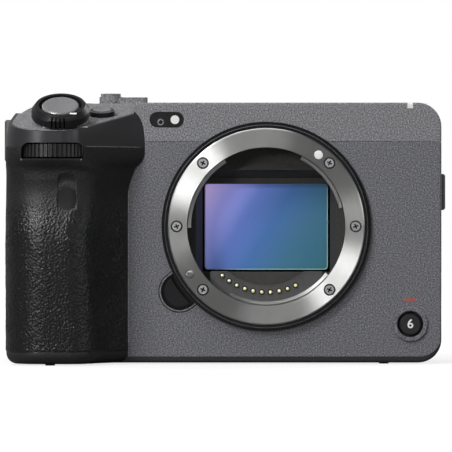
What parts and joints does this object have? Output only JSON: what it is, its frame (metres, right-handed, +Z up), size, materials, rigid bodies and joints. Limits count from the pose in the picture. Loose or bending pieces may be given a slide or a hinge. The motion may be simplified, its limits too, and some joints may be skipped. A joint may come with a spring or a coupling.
{
  "type": "cinema camera body",
  "caption": "Boxed camera body without a lens: deep hand grip with dials and buttons, bayonet lens mount over the image sensor, and a swing-out monitor.",
  "frame": {"origin": "mouth of the tripod socket in the base plate, straight below the optical axis", "axes": "+X to the right as seen from the front, +Y to the back (the lens leaves along -Y), +Z up"},
  "size_m": [0.1293, 0.0847, 0.0794],
  "materials": {
    "body_coat": "fine speckled powder coat, mid-dark grey",
    "black_plastic": "matte black",
    "gloss_black": "satin to gloss black",
    "grip_rubber": "leather grain, matt",
    "mount_steel": "turned, satin",
    "screw_steel": "satin",
    "gilt": "polished gilt",
    "sensor_coating": "optically coated glass cover, violet to teal",
    "dark_glass": "polished dark glass",
    "lamp_white": "white diffuser",
    "grey_button": "satin metallic grey",
    "aluminium": "machined",
    "board": "solder mask",
    "soft_rubber": "matt",
    "port_rubber": "matt"
  },
  "bodies": {
    "camera_body": {"front_cover": "body_coat", "rear_cover": "body_coat", "top_cover": "body_coat", "base_plate": "black_plastic", "grip_housing": "black_plastic", "grip_rubber": "grip_rubber", "grip_head": "black_plastic", "signal_windows": "gloss_black", "front_lamps": "lamp_white", "mount_trim_ring": "gloss_black", "lens_mount": "mount_steel", "mount_screws": "screw_steel", "contact_block": "black_plastic", "contact_pins": "gilt", "light_baffle": "black_plastic", "chassis_frame": "aluminium", "shutter_frame": "black_plastic", "stabiliser_base": "aluminium", "main_board": "board", "heat_sink": "aluminium", "battery": "black_plastic", "card_reader": "black_plastic", "port_sockets": "black_plastic", "accessory_shoe": "mount_steel", "thread_bushes": "screw_steel", "strap_lugs": "screw_steel", "base_feet": "soft_rubber"},
    "shutter_button": {"shutter_button": "grey_button"},
    "zoom_lever": {"zoom_lever": "gloss_black"},
    "front_dial": {"front_dial": "black_plastic"},
    "record_button": {"record_button": "grey_button"},
    "front_button": {"front_button": "black_plastic"},
    "lens_release": {"lens_release_button": "black_plastic"},
    "lens_lock": {"lens_lock_pin": "mount_steel"},
    "power_lever": {"power_lever": "body_coat"},
    "top_button_1": {"top_button_1": "black_plastic"},
    "top_button_2": {"top_button_2": "black_plastic"},
    "rear_dial": {"rear_dial": "black_plastic"},
    "monitor": {"monitor_arm": "black_plastic", "monitor_frame": "black_plastic", "monitor_glass": "dark_glass"},
    "joystick_gimbal": {"joystick_gimbal": "aluminium"},
    "joystick_cap": {"joystick_cap": "soft_rubber"},
    "control_wheel": {"control_wheel": "gloss_black"},
    "wheel_button": {"wheel_button": "black_plastic"},
    "menu_button": {"menu_button": "black_plastic"},
    "function_button": {"function_button": "black_plastic"},
    "play_button": {"play_button": "black_plastic"},
    "delete_button": {"delete_button": "black_plastic"},
    "battery_door": {"battery_door": "black_plastic"},
    "battery_latch": {"battery_latch": "black_plastic"},
    "card_door": {"card_door": "black_plastic"},
    "port_cover_upper": {"port_cover_upper": "port_rubber"},
    "port_cover_lower": {"port_cover_lower": "port_rubber"},
    "fan_rotor": {"fan_rotor": "black_plastic"},
    "stabiliser_slide": {"stabiliser_slide": "aluminium"},
    "sensor_carriage": {"sensor_carriage": "aluminium", "image_sensor": "sensor_coating"},
    "shutter_blade_front": {"shutter_blade_front": "black_plastic"},
    "shutter_blade_rear": {"shutter_blade_rear": "black_plastic"}
  },
  "joints": [
    {"name": "shutter_press", "type": "slide", "parent": "camera_body", "child": "shutter_button", "axis": [0, 0.4772, -0.8788], "range_m": [0, 0.0008], "stiffness_N_per_m": 150},
    {"name": "zoom_turn", "type": "hinge", "parent": "camera_body", "child": "zoom_lever", "pos_m": [-0.0594, -0.037, 0.07165], "axis": [0, -0.4772, 0.8788], "range_deg": [-15, 15], "stiffness_Nm_per_rad": 0.01},
    {"name": "front_dial_turn", "type": "hinge", "parent": "camera_body", "child": "front_dial", "pos_m": [-0.0615, -0.0362, 0.0597], "axis": [0, 0, 1], "continuous": true},
    {"name": "record_press", "type": "slide", "parent": "camera_body", "child": "record_button", "axis": [0, 0.2453, -0.9694], "range_m": [0, 0.0005], "stiffness_N_per_m": 150},
    {"name": "front_button_press", "type": "slide", "parent": "camera_body", "child": "front_button", "axis": [0, 1, 0], "range_m": [0, 0.0005], "stiffness_N_per_m": 150},
    {"name": "lens_release_press", "type": "slide", "parent": "camera_body", "child": "lens_release", "axis": [0, 1, 0], "range_m": [0, 0.0018], "stiffness_N_per_m": 400},
    {"name": "lens_lock_retract", "type": "slide", "parent": "camera_body", "child": "lens_lock", "axis": [0, 1, 0], "range_m": [0, 0.0018]},
    {"name": "power_turn", "type": "hinge", "parent": "camera_body", "child": "power_lever", "pos_m": [-0.0461, 0.004, 0.0758], "axis": [0, 0, 1], "range_deg": [0, 35]},
    {"name": "top_button_1_press", "type": "slide", "parent": "camera_body", "child": "top_button_1", "axis": [0, 0, -1], "range_m": [0, 0.0005], "stiffness_N_per_m": 150},
    {"name": "top_button_2_press", "type": "slide", "parent": "camera_body", "child": "top_button_2", "axis": [0, 0, -1], "range_m": [0, 0.0005], "stiffness_N_per_m": 150},
    {"name": "rear_dial_turn", "type": "hinge", "parent": "camera_body", "child": "rear_dial", "pos_m": [-0.06, 0.0193, 0.0672], "axis": [0, 0, 1], "continuous": true},
    {"name": "monitor_swing", "type": "hinge", "parent": "camera_body", "child": "monitor", "pos_m": [0.0465, 0.0255, 0.0397], "axis": [0, 0, -1], "range_deg": [0, 176]},
    {"name": "joystick_pan", "type": "hinge", "parent": "camera_body", "child": "joystick_gimbal", "pos_m": [-0.04, 0.0252, 0.053], "axis": [0, 0, 1], "range_deg": [-8, 8], "stiffness_Nm_per_rad": 0.005},
    {"name": "joystick_tilt", "type": "hinge", "parent": "joystick_gimbal", "child": "joystick_cap", "pos_m": [-0.04, 0.0252, 0.053], "axis": [1, 0, 0], "range_deg": [-8, 8], "stiffness_Nm_per_rad": 0.005},
    {"name": "control_wheel_turn", "type": "hinge", "parent": "camera_body", "child": "control_wheel", "pos_m": [-0.046, 0.029, 0.029], "axis": [0, 1, 0], "continuous": true},
    {"name": "wheel_button_press", "type": "slide", "parent": "camera_body", "child": "wheel_button", "axis": [0, -1, 0], "range_m": [0, 0.0005], "stiffness_N_per_m": 150},
    {"name": "menu_press", "type": "slide", "parent": "camera_body", "child": "menu_button", "axis": [0, -1, 0], "range_m": [0, 0.0005], "stiffness_N_per_m": 150},
    {"name": "function_press", "type": "slide", "parent": "camera_body", "child": "function_button", "axis": [0, -1, 0], "range_m": [0, 0.0005], "stiffness_N_per_m": 150},
    {"name": "play_press", "type": "slide", "parent": "camera_body", "child": "play_button", "axis": [0, -1, 0], "range_m": [0, 0.0005], "stiffness_N_per_m": 150},
    {"name": "delete_press", "type": "slide", "parent": "camera_body", "child": "delete_button", "axis": [0, -1, 0], "range_m": [0, 0.0005], "stiffness_N_per_m": 150},
    {"name": "battery_door_open", "type": "hinge", "parent": "camera_body", "child": "battery_door", "pos_m": [-0.0594, 0.0038, 0.0011], "axis": [1, 0, 0], "range_deg": [0, 95]},
    {"name": "battery_latch_slide", "type": "slide", "parent": "battery_door", "child": "battery_latch", "axis": [0, -1, 0], "range_m": [0, 0.0015]},
    {"name": "card_door_open", "type": "hinge", "parent": "camera_body", "child": "card_door", "pos_m": [-0.0745, 0.02045, 0.03], "axis": [0, 0, -1], "range_deg": [0, 100]},
    {"name": "port_upper_open", "type": "hinge", "parent": "camera_body", "child": "port_cover_upper", "pos_m": [0.0503, -0.01755, 0.025], "axis": [0, 0, -1], "range_deg": [0, 100]},
    {"name": "port_lower_open", "type": "hinge", "parent": "camera_body", "child": "port_cover_lower", "pos_m": [0.0503, -0.01755, 0.025], "axis": [0, 0, -1], "range_deg": [0, 100]},
    {"name": "fan_spin", "type": "hinge", "parent": "camera_body", "child": "fan_rotor", "pos_m": [0.011, 0.0046, 0.0397], "axis": [0, 1, 0], "continuous": true},
    {"name": "stabiliser_across", "type": "slide", "parent": "camera_body", "child": "stabiliser_slide", "axis": [1, 0, 0], "range_m": [-0.0012, 0.0012], "stiffness_N_per_m": 600},
    {"name": "stabiliser_up", "type": "slide", "parent": "stabiliser_slide", "child": "sensor_carriage", "axis": [0, 0, 1], "range_m": [-0.0012, 0.0012], "stiffness_N_per_m": 600},
    {"name": "shutter_front_drop", "type": "slide", "parent": "camera_body", "child": "shutter_blade_front", "axis": [0, 0, -1], "range_m": [0, 0.028], "stiffness_N_per_m": 5, "springref_m": -0.01},
    {"name": "shutter_rear_drop", "type": "slide", "parent": "camera_body", "child": "shutter_blade_rear", "axis": [0, 0, -1], "range_m": [0, 0.014]}
  ],
  "couplings": [
    {"joint": "lens_lock_retract", "follows": "lens_release_press", "ratio": 1},
    {"joint": "shutter_rear_drop", "follows": "shutter_front_drop", "ratio": 0.5}
  ]
}
